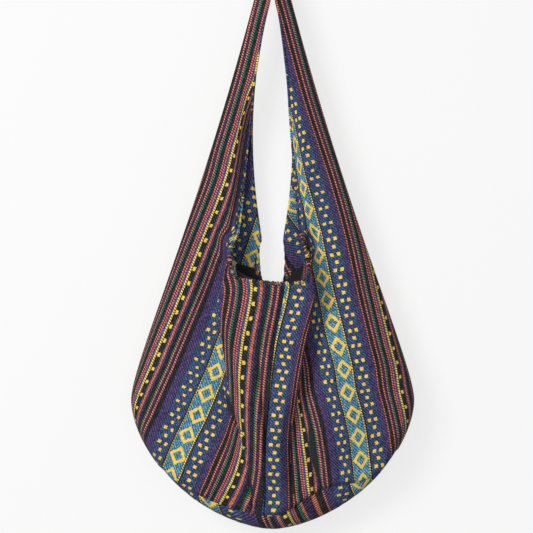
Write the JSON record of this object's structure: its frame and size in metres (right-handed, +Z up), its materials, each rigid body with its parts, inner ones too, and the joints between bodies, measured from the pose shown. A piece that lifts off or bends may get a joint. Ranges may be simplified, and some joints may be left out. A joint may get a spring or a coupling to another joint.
{
  "type": "crossbody bag",
  "caption": "Slouchy sling bag of striped woven cloth, hung by its own cloth shoulder strap, with an open folded mouth, a black lining and a boat-shaped base.",
  "frame": {"origin": "under the crown of the shoulder strap, where a hook or a shoulder carries the bag", "axes": "+Z up, -Y out of the front of the bag, +X to the right as seen from the front"},
  "size_m": [0.4018, 0.0921, 0.7936],
  "materials": {
    "woven_cloth": "thick striped cotton weave, matt",
    "facing_cloth": "the same striped weave, inside the strap and neck",
    "lining_cloth": "plain black cotton, matt"
  },
  "bodies": {
    "root": {"left_panel": "woven_cloth", "right_panel": "woven_cloth", "base_panel": "woven_cloth", "left_facing": "facing_cloth", "right_facing": "facing_cloth", "left_lining": "lining_cloth", "right_lining": "lining_cloth", "base_lining": "lining_cloth"}
  },
  "joints": []
}
